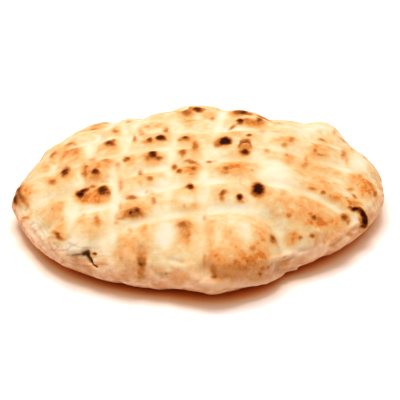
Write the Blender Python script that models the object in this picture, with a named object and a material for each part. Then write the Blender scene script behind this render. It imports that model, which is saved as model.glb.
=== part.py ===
"""Somun: a round flatbread of yeast dough, about 20 cm across and 4 cm high.

The loaf is one baked piece.  Its form is a section turned about Z and stretched to an uneven
outline: a low crown, a rounded rim and a flat sole.  A lattice of blunt grooves, pressed into the
dough before baking, runs over the crown and down the rim.  Between the grooves the dough has puffed
up, in places into bulges that lean over the rim, the hottest spots have blistered, and low on the
front left the rim has torn open under a flap.

X runs to the right, Y to the back and Z up.  The origin is on the surface that the loaf rests on,
under the middle of its bounding box.

Places on the skin are (x, y) in millimetres on its own unrolled map: the direction from the middle
of the crown, and the distance from there measured along the skin instead of straight across.
"""

import math
import random

import bmesh
import bpy
import numpy as np

MM = 0.001

# Section of the loaf
RADIUS = 97.5 * MM                  # mean radius at the waist, the widest level
CROWN_HEIGHT = 42.0 * MM
WAIST_HEIGHT = 12.0 * MM
SOLE_SHARE = 0.78                   # radius of the flat sole, as a share of the loaf's
CROWN_FULLNESS = 2.2                # higher keeps the crown level further out
CROWN_SHOULDER = 0.625              # lower gives the rim a rounder shoulder

# Outline seen from above: (waves around the loaf, cosine share, sine share)
OUTLINE_WAVES = ((2, 0.025, 0.041), (3, 0.006, 0.019), (4, -0.001, 0.002))

# Where the outline falls short of those waves: (direction and half width in degrees, depth mm)
OUTLINE_DENTS = (
    (-117.0, 13.0, 2.4),
    (-98.0, 9.5, 3.9),              # left of the big cell in front
    (-78.0, 4.0, 0.8),
    (-59.0, 5.5, 3.9),              # right of it
    (-44.0, 14.0, 3.4),
    (12.0, 18.0, 2.2),
    (27.0, 9.0, 3.2),
    (156.0, 7.0, 1.6),
    (168.0, 7.0, 3.0),
)

# Mesh: steps along the skin from the middle of the crown to the edge of the sole
SKIN_STEPS = 38
CROWN_STEPS = 32                    # the steps down to the waist, shorter than the rest
SECTION_SAMPLES = 400

# Pressed grooves: each a share of the full depth, and the few points that its smooth curve runs through
GROOVE_DEPTH = 3.0 * MM
GROOVE_WIDTH = 4.2                  # mm from a groove's middle to its wall
VALLEY_WIDTH = 9.0                  # mm over which the puffed cells roll down to it
VALLEY_SHARE = 0.4
RIM_FADE = (76.0, 110.0, 0.4)       # mm along the skin where grooves grow shallow, and the share left
CURVE_STEPS = 5                     # straight steps between two points of a curve
ROW_GROOVES = (                     # from the front to the back
    (1.0, ((-78, -98), (-50, -77), (-26, -65), (4, -60), (29, -60), (41, -68), (46, -92))),
    (1.0, ((-92, -56), (-54, -54), (-20, -41), (16, -36), (54, -38), (78, -45), (90, -62))),
    (1.0, ((-104, -30), (-60, -33), (-25, -24), (14, -15), (60, -14), (80, -18), (102, -40))),
    (0.9, ((-104, -2), (-50, -8), (-8, -1), (24, 6), (54, 0), (106, -2))),
    (0.9, ((-98, 30), (-60, 20), (-16, 24), (20, 22), (60, 20), (104, 28))),
    (0.9, ((-92, 52), (-40, 44), (20, 42), (98, 52))),
    (0.8, ((-80, 74), (0, 64), (84, 74))),
    (0.7, ((-56, 96), (0, 86), (60, 96))),
)
COLUMN_GROOVES = (                  # from the left to the right
    (0.8, ((-97, -50), (-85, -20), (-80, 10), (-77, 44))),
    (1.0, ((-72, -86), (-64, -41), (-60, -5), (-54, 34), (-48, 84))),
    (1.0, ((-48, -98), (-43, -43), (-40, 0), (-36, 34), (-30, 98))),
    (0.8, ((-20, -112), (-17, -59), (-15, -10), (-10, 40), (-6, 106))),
    (1.0, ((1, -124), (1, -60), (4, -10), (13, 46), (20, 112))),
    (0.8, ((29, -60), (26, -48), (31, -30), (34, 0), (38, 27), (46, 104))),
    (0.6, ((56, -38), (57, 14), (62, 52), (74, 88))),
    (0.7, ((88, -46), (81, -8), (80, 12), (88, 54))),
)

# Bulges where steam has lifted the dough, and hollows: (x mm, y mm, radius mm, height mm)
BULGES = (
    (19.0, -85.0, 21.0, 4.0),       # the big cell that leans over the front
    (10.0, -108.0, 18.0, 2.5),      # its foot
    (-36.0, -84.0, 14.0, 1.5),
    (-44.0, -112.0, 22.0, -1.5),    # the rim tucks under at the front left
    (-66.0, -66.0, 14.0, 1.5),
    (-100.0, -12.0, 14.0, 2.0),
    (52.0, -49.0, 20.0, 2.0),
    (84.0, -62.0, 18.0, 2.5),
    (92.0, -36.0, 11.0, 2.0),
    (98.0, -8.0, 18.0, 1.0),
    (74.0, 52.0, 16.0, 5.2),        # the shoulder at the back right
    (44.0, 67.0, 17.0, -4.2),       # the hollow beside it
    (60.0, 61.0, 9.0, -2.0),
    (12.0, 86.0, 11.0, -1.2),
    (-8.0, 86.0, 8.0, 3.6),
    (-22.0, 76.0, 12.0, -3.0),
    (-58.0, 66.0, 10.0, 1.8),
    (28.0, 36.0, 13.0, 2.0),
    (-2.0, 53.0, 11.0, 2.2),
)

# Blisters on the hottest cells: (x mm, y mm)
BLISTER_RADIUS = 4.6
BLISTER_HEIGHT = 1.3
BLISTERS = (
    (-60, -40), (-49, -41), (-54, -23), (-48, 6), (-34, -61), (-25, -13), (-20, 6), (-9, -12),
    (-4, -45), (12, -1), (25, -5), (21, -51), (30, -43), (88, -36), (25, 34), (-7, 49),
)

# The tear low on the front left: a gash through three points, and the flap that hangs over it
GASH = ((-69, -81), (-59, -84), (-51, -93))
GASH_WIDTH = 3.2
GASH_DEPTH = 3.0 * MM
FLAP = (-66.0, -73.0, 8.0, 2.5)

# Slow unevenness of the whole crown
LUMP_WAVES = 7
LUMP_HEIGHT = 0.45 * MM             # of each wave
LUMP_LENGTHS = (45.0, 95.0)         # mm from crest to crest
SEED = 11

CRUST_COLOUR = (0.83, 0.53, 0.27, 1.0)
CRUST_ROUGHNESS = 0.8


def outline_share(angle):
    """Radius of the loaf in a direction, as a share of its mean radius."""
    share = 1.0
    for waves, cosine, sine in OUTLINE_WAVES:
        share += cosine * math.cos(waves * angle) + sine * math.sin(waves * angle)
    for direction, half_width, depth in OUTLINE_DENTS:
        turned = (math.degrees(angle) - direction + 180.0) % 360.0 - 180.0
        share -= depth * MM / RADIUS * math.exp(-((turned / half_width) ** 2))
    return share


def section():
    """The loaf's section, from the top over the rim to the edge of the sole: arrays of the distance
    along the skin, the radius and the height, and the skin's distance at the waist."""
    turn = np.linspace(0.0, math.pi / 2, SECTION_SAMPLES)
    crown_radius = RADIUS * np.sin(turn)
    crown_rise = (1.0 - np.sin(turn) ** CROWN_FULLNESS) ** CROWN_SHOULDER
    crown_height = WAIST_HEIGHT + (CROWN_HEIGHT - WAIST_HEIGHT) * crown_rise
    under_radius = RADIUS * (SOLE_SHARE + (1.0 - SOLE_SHARE) * np.cos(turn))
    under_height = WAIST_HEIGHT * (1.0 - np.sin(turn))
    radius = np.concatenate([crown_radius, under_radius[1:]])
    height = np.concatenate([crown_height, under_height[1:]])
    steps = np.hypot(np.diff(radius), np.diff(height))
    skin = np.concatenate([[0.0], np.cumsum(steps)])
    return skin, radius, height, skin[SECTION_SAMPLES - 1]


def smooth_curve(points):
    """A Catmull-Rom curve through the points, as an array of places."""
    points = np.array(points, float)
    ends = [2 * points[0] - points[1]], [2 * points[-1] - points[-2]]
    guides = np.concatenate([ends[0], points, ends[1]])
    curve = []
    for before, start, end, after in zip(guides, guides[1:], guides[2:], guides[3:]):
        for step in range(CURVE_STEPS):
            t = step / CURVE_STEPS
            curve.append(start + 0.5 * t * (
                end - before
                + t * (2 * before - 5 * start + 4 * end - after)
                + t * t * (3 * (start - end) + after - before)
            ))
    return np.array(curve + [points[-1]])


def distance_to(curve, x, y):
    """Shortest distance in mm from each place to a curve of straight steps."""
    nearest = np.full(x.shape, np.inf)
    for (x0, y0), (x1, y1) in zip(curve, curve[1:]):
        run_x, run_y = x1 - x0, y1 - y0
        share = np.clip(((x - x0) * run_x + (y - y0) * run_y) / (run_x ** 2 + run_y ** 2), 0.0, 1.0)
        nearest = np.minimum(nearest, np.hypot(x - x0 - share * run_x, y - y0 - share * run_y))
    return nearest


def groove_depth(x, y):
    """Depth of the pressed lattice at each place, in metres."""
    uncut = np.ones(x.shape)
    for share, points in ROW_GROOVES + COLUMN_GROOVES:
        distance = distance_to(smooth_curve(points), x, y)
        floor = (1.0 - VALLEY_SHARE) * np.exp(-((distance / GROOVE_WIDTH) ** 2))
        valley = VALLEY_SHARE * np.exp(-((distance / VALLEY_WIDTH) ** 2))
        uncut *= 1.0 - share * (floor + valley)
    fade_start, fade_end, share_left = RIM_FADE
    kept = np.interp(np.hypot(x, y), [fade_start, fade_end], [1.0, share_left])
    return GROOVE_DEPTH * kept * (1.0 - uncut)


def swell(x, y, centre_x, centre_y, radius):
    """A smooth round swelling, 1 at its centre."""
    return np.exp(-((x - centre_x) ** 2 + (y - centre_y) ** 2) / radius ** 2)


def lumps(x, y):
    """Slow seeded waves over the whole skin, in metres."""
    draw = random.Random(SEED)
    height = np.zeros(x.shape)
    for _ in range(LUMP_WAVES):
        direction = draw.uniform(0.0, math.tau)
        number = math.tau / draw.uniform(*LUMP_LENGTHS)
        phase = draw.uniform(0.0, math.tau)
        height += LUMP_HEIGHT * np.sin(number * (math.cos(direction) * x + math.sin(direction) * y) + phase)
    return height


def relief(x, y):
    """Height in metres of the skin over the plain section, at each place."""
    height = lumps(x, y) - groove_depth(x, y)
    for centre_x, centre_y, radius, rise in BULGES + (FLAP,):
        height += rise * MM * swell(x, y, centre_x, centre_y, radius)
    for centre_x, centre_y in BLISTERS:
        height += BLISTER_HEIGHT * MM * swell(x, y, centre_x, centre_y, BLISTER_RADIUS)
    gash = distance_to(smooth_curve(GASH), x, y)
    return height - GASH_DEPTH * np.exp(-((gash / GASH_WIDTH) ** 2))


def bend_over_section(bm):
    """Moves the square grid's points onto the plain section, and gives each one's place on the skin.
    The square from -1 to 1 is first rounded to a disc, its edge to the sole's edge."""
    skin, radius, height, waist_skin = section()
    places = []
    for vert in bm.verts:
        disc_x = vert.co.x * math.sqrt(1.0 - vert.co.y ** 2 / 2)
        disc_y = vert.co.y * math.sqrt(1.0 - vert.co.x ** 2 / 2)
        ring = 1.0 if vert.is_boundary else math.hypot(disc_x, disc_y)
        angle = math.atan2(disc_y, disc_x)
        along = np.interp(ring, [0.0, CROWN_STEPS / SKIN_STEPS, 1.0], [0.0, waist_skin, skin[-1]])
        reach = outline_share(angle)
        out = reach * np.interp(along, skin, radius)
        vert.co = (out * math.cos(angle), out * math.sin(angle), np.interp(along, skin, height))
        places.append((along * reach * math.cos(angle) / MM, along * reach * math.sin(angle) / MM))
    return np.array(places)


def centre(bm):
    """Moves the mesh so that its bounding box is centred over the origin."""
    xs = [vert.co.x for vert in bm.verts]
    ys = [vert.co.y for vert in bm.verts]
    shift = (-(min(xs) + max(xs)) / 2, -(min(ys) + max(ys)) / 2, 0.0)
    bmesh.ops.translate(bm, vec=shift, verts=bm.verts[:])


def make_loaf():
    """The loaf as one closed mesh: a grid bent over the section and pushed out by the relief, which
    dies out towards the sole, one flat face."""
    bm = bmesh.new()
    bmesh.ops.create_grid(bm, x_segments=2 * SKIN_STEPS, y_segments=2 * SKIN_STEPS, size=1.0)
    places = bend_over_section(bm)
    bmesh.ops.holes_fill(bm, edges=[edge for edge in bm.edges if edge.is_boundary], sides=0)
    bmesh.ops.recalc_face_normals(bm, faces=bm.faces[:])
    bm.normal_update()
    for vert, rise in zip(bm.verts, relief(places[:, 0], places[:, 1])):
        lift = min(vert.co.z / WAIST_HEIGHT, 1.0)
        vert.co += vert.normal * float(rise * lift * lift)
    bmesh.ops.triangulate(bm, faces=bm.faces[:], quad_method="BEAUTY", ngon_method="BEAUTY")
    centre(bm)

    mesh = bpy.data.meshes.new("somun")
    bm.to_mesh(mesh)
    bm.free()
    mesh.shade_smooth()
    loaf = bpy.data.objects.new("somun", mesh)
    bpy.context.scene.collection.objects.link(loaf)
    return loaf


def crust_material():
    """Baked crust, matt and pale golden."""
    material = bpy.data.materials.new("crust")
    material.use_nodes = True
    shader = material.node_tree.nodes["Principled BSDF"]
    shader.inputs["Base Color"].default_value = CRUST_COLOUR
    shader.inputs["Roughness"].default_value = CRUST_ROUGHNESS
    shader.inputs["Metallic"].default_value = 0.0
    return material


for old in list(bpy.data.objects):
    bpy.data.objects.remove(old, do_unlink=True)
make_loaf().data.materials.append(crust_material())
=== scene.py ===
"""A somun: a round flatbread of yeast dough, pressed into a lattice and baked so hot that it puffs up.

The loaf is one piece.  The sections follow it from the baker's bench to the table: the dough is
shaped and pressed, the oven toasts and scorches it, its side tears and wrinkles, and it is laid down
in the light.
"""

import math
import random

import bmesh
import bpy
import numpy as np
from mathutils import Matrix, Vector, noise
from mathutils.bvhtree import BVHTree
from mathutils.interpolate import poly_3d_calc


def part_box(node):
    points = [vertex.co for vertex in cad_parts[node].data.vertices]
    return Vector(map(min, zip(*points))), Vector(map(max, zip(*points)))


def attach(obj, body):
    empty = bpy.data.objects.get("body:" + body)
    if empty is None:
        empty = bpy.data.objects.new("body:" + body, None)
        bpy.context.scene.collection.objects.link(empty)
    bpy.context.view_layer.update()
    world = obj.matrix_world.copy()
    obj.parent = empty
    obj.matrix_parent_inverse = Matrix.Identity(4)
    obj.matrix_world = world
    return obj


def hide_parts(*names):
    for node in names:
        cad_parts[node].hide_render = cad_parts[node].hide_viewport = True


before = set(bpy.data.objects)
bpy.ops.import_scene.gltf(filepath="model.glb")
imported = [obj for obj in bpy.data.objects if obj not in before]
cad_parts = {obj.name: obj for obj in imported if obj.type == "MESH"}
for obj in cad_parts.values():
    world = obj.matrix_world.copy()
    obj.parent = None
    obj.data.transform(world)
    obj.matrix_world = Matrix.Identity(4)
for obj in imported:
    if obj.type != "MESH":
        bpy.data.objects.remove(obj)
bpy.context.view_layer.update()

# ------------------------------------------------------------------------------
# The view.  The photograph looks down on the loaf from about 27 degrees, from well back.  The camera
# comes first because the oven's marks are placed by the pixels of the picture that they cover.

MM = 0.001
PICTURE_SIDE = 400                # pixels
FOCAL_PIXELS = 1484
VIEW_ELEVATION = math.radians(27.43)
VIEW_DISTANCE = 800 * MM
LOAF_MIDDLE = Vector((-0.5, 3.5, 20.0)) * MM
AIM = LOAF_MIDDLE + Vector((0.7, -5.5, -10.6)) * MM  # what stands in the middle of the picture
BACKWARDS = Vector((0.0, -math.cos(VIEW_ELEVATION), math.sin(VIEW_ELEVATION)))
NEAREST_SEEN = 50 * MM

scene = bpy.context.scene
camera = bpy.data.objects.new("camera", bpy.data.cameras.new("camera"))
camera.location = LOAF_MIDDLE + VIEW_DISTANCE * BACKWARDS
camera.rotation_euler = (AIM - camera.location).to_track_quat("-Z", "Y").to_euler()
camera.data.lens = camera.data.sensor_width * FOCAL_PIXELS / PICTURE_SIDE
camera.data.clip_start = NEAREST_SEEN
scene.collection.objects.link(camera)
scene.camera = camera


def sight_line(px, py):
    """Direction from the camera through a pixel of the picture."""
    across = (px - PICTURE_SIDE / 2) / FOCAL_PIXELS
    up = (PICTURE_SIDE / 2 - py) / FOCAL_PIXELS
    return camera.rotation_euler.to_matrix() @ Vector((across, up, -1.0)).normalized()


# ------------------------------------------------------------------------------
# The shaped dough.  A soft ball pressed flat, with a low crown, a rounded rim and a flat sole, and
# crossed by grooves that a scraper pressed in.  A place on its skin is (x, y) in millimetres on the
# skin's unrolled map: the direction from the middle of the crown, and the distance along the skin.

RADIUS = 97.5 * MM                # mean radius at the waist
CROWN_HEIGHT = 42.0 * MM
WAIST_HEIGHT = 12.0 * MM
SOLE_SHARE = 0.78                 # of the radius
CROWN_FULLNESS = 2.2              # how flat its middle is
CROWN_SHOULDER = 0.625            # how round it falls off to the rim
OUTLINE_WAVES = (                 # waves in a turn, and their cosine and sine shares of the radius
    (2, 0.025, 0.041),
    (3, 0.006, 0.019),
    (4, -0.001, 0.002),
)
OUTLINE_DENTS = (                 # direction and half width in degrees, depth in mm
    (-117, 13, 2.4),
    (-98, 9.5, 3.9),
    (-78, 4, 0.8),
    (-59, 5.5, 3.9),
    (-44, 14, 3.4),
    (12, 18, 2.2),
    (27, 9, 3.2),
    (156, 7, 1.6),
    (168, 7, 3.0),
)

SKIN_STEPS = 146                  # from the middle of the crown to the edge of the sole
CROWN_STEPS = 124                 # of them down to the waist
EDGE_TOLERANCE = 1e-6
SECTION_SAMPLES = 400
FINE_PATCH = (-61.0, -84.0, 15.0) # x, y and radius in mm of the patch of finer mesh around the tear

GROOVE_DEPTH = 3.0 * MM
GROOVE_WIDTH = 4.2                # mm, as all widths and places on the skin
VALLEY_WIDTH = 9.0
VALLEY_SHARE = 0.4                # of a groove's depth, that its wide valley has
GROOVE_FADE = (76.0, 110.0)       # mm along the skin, over which the grooves grow shallower
RIM_GROOVES = 0.4                 # the share of their depth that they keep there
FLOUR_FADE = (84.0, 108.0)        # the same, for the flour in the grooves
RIM_FLOUR = 0.3
CURVE_STEPS = 5                   # between two points of a curve
ROW_GROOVES = (                   # share of the depth, and points, from the front to the back
    (1.0, ((-78, -98), (-50, -77), (-26, -65), (4, -60), (29, -60), (41, -68), (46, -92))),
    (1.0, ((-92, -56), (-54, -54), (-20, -41), (16, -36), (54, -38), (78, -45), (90, -62))),
    (1.0, ((-104, -30), (-60, -33), (-25, -24), (14, -15), (60, -14), (80, -18), (102, -40))),
    (0.9, ((-104, -2), (-50, -8), (-8, -1), (24, 6), (54, 0), (106, -2))),
    (0.9, ((-98, 30), (-60, 20), (-16, 24), (20, 22), (60, 20), (104, 28))),
    (0.9, ((-92, 52), (-40, 44), (20, 42), (98, 52))),
    (0.8, ((-80, 74), (0, 64), (84, 74))),
    (0.7, ((-56, 96), (0, 86), (60, 96))),
)
COLUMN_GROOVES = (                # the same, from the left to the right
    (0.8, ((-97, -50), (-85, -20), (-80, 10), (-77, 44))),
    (1.0, ((-72, -86), (-64, -41), (-60, -5), (-54, 34), (-48, 84))),
    (1.0, ((-48, -98), (-43, -43), (-40, 0), (-36, 34), (-30, 98))),
    (0.8, ((-20, -112), (-17, -59), (-15, -10), (-10, 40), (-6, 106))),
    (1.0, ((1, -124), (1, -60), (4, -10), (13, 46), (20, 112))),
    (0.8, ((29, -60), (26, -48), (31, -30), (34, 0), (38, 27), (46, 104))),
    (0.6, ((56, -38), (57, 14), (62, 52), (74, 88))),
    (0.7, ((88, -46), (81, -8), (80, 12), (88, 54))),
)
BULGES = (                        # x, y, radius and height in mm
    (19, -85, 21, 4.0),
    (10, -108, 18, 2.5),
    (-36, -84, 14, 1.5),
    (-44, -112, 22, -1.5),
    (-66, -66, 14, 1.5),
    (-100, -12, 14, 2.0),
    (52, -49, 20, 2.0),
    (84, -62, 18, 2.5),
    (92, -36, 11, 2.0),
    (98, -8, 18, 1.0),
    (74, 52, 16, 5.2),
    (44, 67, 17, -4.2),
    (-58, 66, 10, 1.8),
    (-22, 76, 12, -3.0),
    (-8, 86, 8, 3.6),
    (12, 86, 11, -1.2),
    (60, 61, 9, -2.0),
    (28, 36, 13, 2.0),
    (-2, 53, 11, 2.2),
)
LUMP_WAVES = 7
LUMP_HEIGHT = 0.45 * MM
LUMP_LENGTHS = (45.0, 95.0)       # mm
LUMP_SEED = 11


def outline_share(angle):
    """Radius of the loaf in a direction, as a share of its mean radius."""
    share = 1.0
    for waves, cosine, sine in OUTLINE_WAVES:
        share = share + cosine * np.cos(waves * angle) + sine * np.sin(waves * angle)
    for direction, half_width, depth in OUTLINE_DENTS:
        turned = (np.degrees(angle) - direction + 180.0) % 360.0 - 180.0
        share = share - depth * MM / RADIUS * swell(turned, half_width)
    return share


def section():
    """The loaf's section, from the top over the rim to the edge of the sole: arrays of the distance
    along the skin, the radius and the height, and the skin's distance at the waist."""
    turn = np.linspace(0.0, math.pi / 2, SECTION_SAMPLES)
    crown_rise = (1.0 - np.sin(turn) ** CROWN_FULLNESS) ** CROWN_SHOULDER
    crown_height = WAIST_HEIGHT + (CROWN_HEIGHT - WAIST_HEIGHT) * crown_rise
    under_radius = RADIUS * (SOLE_SHARE + (1.0 - SOLE_SHARE) * np.cos(turn))
    under_height = WAIST_HEIGHT * (1.0 - np.sin(turn))
    radius = np.concatenate([RADIUS * np.sin(turn), under_radius[1:]])
    height = np.concatenate([crown_height, under_height[1:]])
    steps = np.hypot(np.diff(radius), np.diff(height))
    skin = np.concatenate([[0.0], np.cumsum(steps)])
    return skin, radius, height, skin[SECTION_SAMPLES - 1]


def map_grid(bm):
    """The grid's points bent from a square to a disc: their direction and distance along the skin."""
    square = np.array([vert.co[:2] for vert in bm.verts], float)
    x = square[:, 0] * np.sqrt(1.0 - square[:, 1] ** 2 / 2)
    y = square[:, 1] * np.sqrt(1.0 - square[:, 0] ** 2 / 2)
    on_edge = np.abs(square).max(axis=1) > 1.0 - EDGE_TOLERANCE
    ring = np.where(on_edge, 1.0, np.hypot(x, y))
    angle = np.arctan2(y, x)
    along = np.interp(ring, (0.0, CROWN_STEPS / SKIN_STEPS, 1.0), (0.0, waist_skin, skin[-1]))
    return angle, along, outline_share(angle)


def unrolled(angle, along, share):
    """Places on the skin's unrolled map, in mm."""
    return along * share * np.cos(angle) / MM, along * share * np.sin(angle) / MM


def smooth_curve(points):
    """A Catmull-Rom curve through the points, as an array of places."""
    points = np.array(points, float)
    guides = np.concatenate([[2 * points[0] - points[1]], points, [2 * points[-1] - points[-2]]])
    curve = []
    for before, start, end, after in zip(guides, guides[1:], guides[2:], guides[3:]):
        for step in range(CURVE_STEPS):
            t = step / CURVE_STEPS
            bend = t * (2 * before - 5 * start + 4 * end - after)
            twist = t * t * (3 * (start - end) + after - before)
            curve.append(start + 0.5 * t * (end - before + bend + twist))
    return np.array(curve + [points[-1]])


def distance_to(curve, x, y):
    """Shortest distance from each place to a curve of straight steps."""
    nearest = np.hypot(x - curve[0][0], y - curve[0][1])
    for (x0, y0), (x1, y1) in zip(curve, curve[1:]):
        run_x, run_y = x1 - x0, y1 - y0
        share = np.clip(((x - x0) * run_x + (y - y0) * run_y) / (run_x ** 2 + run_y ** 2), 0.0, 1.0)
        nearest = np.minimum(nearest, np.hypot(x - x0 - share * run_x, y - y0 - share * run_y))
    return nearest


def swell(distance, radius):
    """A smooth round swelling, 1 at its middle."""
    return np.exp(-((distance / radius) ** 2))


def lumps(x, y):
    """Slow seeded waves over the whole skin, in metres."""
    draw = random.Random(LUMP_SEED)
    height = np.zeros(x.shape)
    for _ in range(LUMP_WAVES):
        direction = draw.uniform(0.0, math.tau)
        number = math.tau / draw.uniform(*LUMP_LENGTHS)
        phase = draw.uniform(0.0, math.tau)
        across = math.cos(direction) * x + math.sin(direction) * y
        height += LUMP_HEIGHT * np.sin(number * across + phase)
    return height


def push_out(bm, steps):
    """Moves every point of a mesh out along its normal, by its own step in metres."""
    bm.normal_update()
    for vert, normal, step in zip(bm.verts, [vert.normal.copy() for vert in bm.verts], steps):
        vert.co += normal * step


skin, radius, height, waist_skin = section()
dough = bmesh.new()
bmesh.ops.create_grid(dough, x_segments=2 * SKIN_STEPS, y_segments=2 * SKIN_STEPS, size=1.0)
angle, along, share = map_grid(dough)
skin_x, skin_y = unrolled(angle, along, share)
patch_x, patch_y, patch_radius = FINE_PATCH
from_patch = np.hypot(skin_x - patch_x, skin_y - patch_y)
fine = {vert for vert, distance in zip(dough.verts, from_patch) if distance < patch_radius}
fine_edges = [edge for edge in dough.edges if fine.issuperset(edge.verts)]
bmesh.ops.subdivide_edges(dough, edges=fine_edges, cuts=1, use_grid_fill=True)

angle, along, share = map_grid(dough)
skin_x, skin_y = unrolled(angle, along, share)
reach = np.hypot(skin_x, skin_y)
out = share * np.interp(along, skin, radius)
up = np.interp(along, skin, height)
for vert, place in zip(dough.verts, zip(out * np.cos(angle), out * np.sin(angle), up)):
    vert.co = place
bmesh.ops.holes_fill(dough, edges=[edge for edge in dough.edges if edge.is_boundary], sides=0)
bmesh.ops.recalc_face_normals(dough, faces=dough.faces[:])

uncut = np.ones(len(reach))
flour_line = np.zeros(len(reach))  # 1 in the middle of a groove, where the skin stays pale
for cut, points in ROW_GROOVES + COLUMN_GROOVES:
    gap = distance_to(smooth_curve(points), skin_x, skin_y)
    groove, valley = swell(gap, GROOVE_WIDTH), swell(gap, VALLEY_WIDTH)
    uncut *= 1.0 - cut * ((1.0 - VALLEY_SHARE) * groove + VALLEY_SHARE * valley)
    flour_line = np.maximum(flour_line, cut * groove)
flour_line *= np.interp(reach, FLOUR_FADE, (1.0, RIM_FLOUR))
groove_depth = GROOVE_DEPTH * np.interp(reach, GROOVE_FADE, (1.0, RIM_GROOVES))
rise = lumps(skin_x, skin_y) - groove_depth * (1.0 - uncut)
for x, y, size, bulge in BULGES:
    rise += bulge * MM * swell(np.hypot(skin_x - x, skin_y - y), size)
off_sole = np.minimum(up / WAIST_HEIGHT, 1.0)
push_out(dough, rise * off_sole ** 2)

solid_low, solid_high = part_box("somun")
dough_places = np.array([vert.co for vert in dough.verts])
dough_middle = Vector((dough_places.min(axis=0) + dough_places.max(axis=0)) / 2)
shift = (solid_low + solid_high) / 2 - dough_middle
bmesh.ops.translate(dough, vec=(shift.x, shift.y, 0.0), verts=dough.verts[:])

# ------------------------------------------------------------------------------
# The oven's marks.  Blisters and cell edges scorch brown to black, the raised cells toast, and the
# grooves stay floury.  A few faint brown marks low at the front and by the right rim are painted shade,
# and a few pale patches are painted light.  Each mark is given by the pixels of the picture that it
# covers, and lies where that line of sight meets the skin.  The far side, which the picture hides, gets
# marks of its own.

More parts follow.
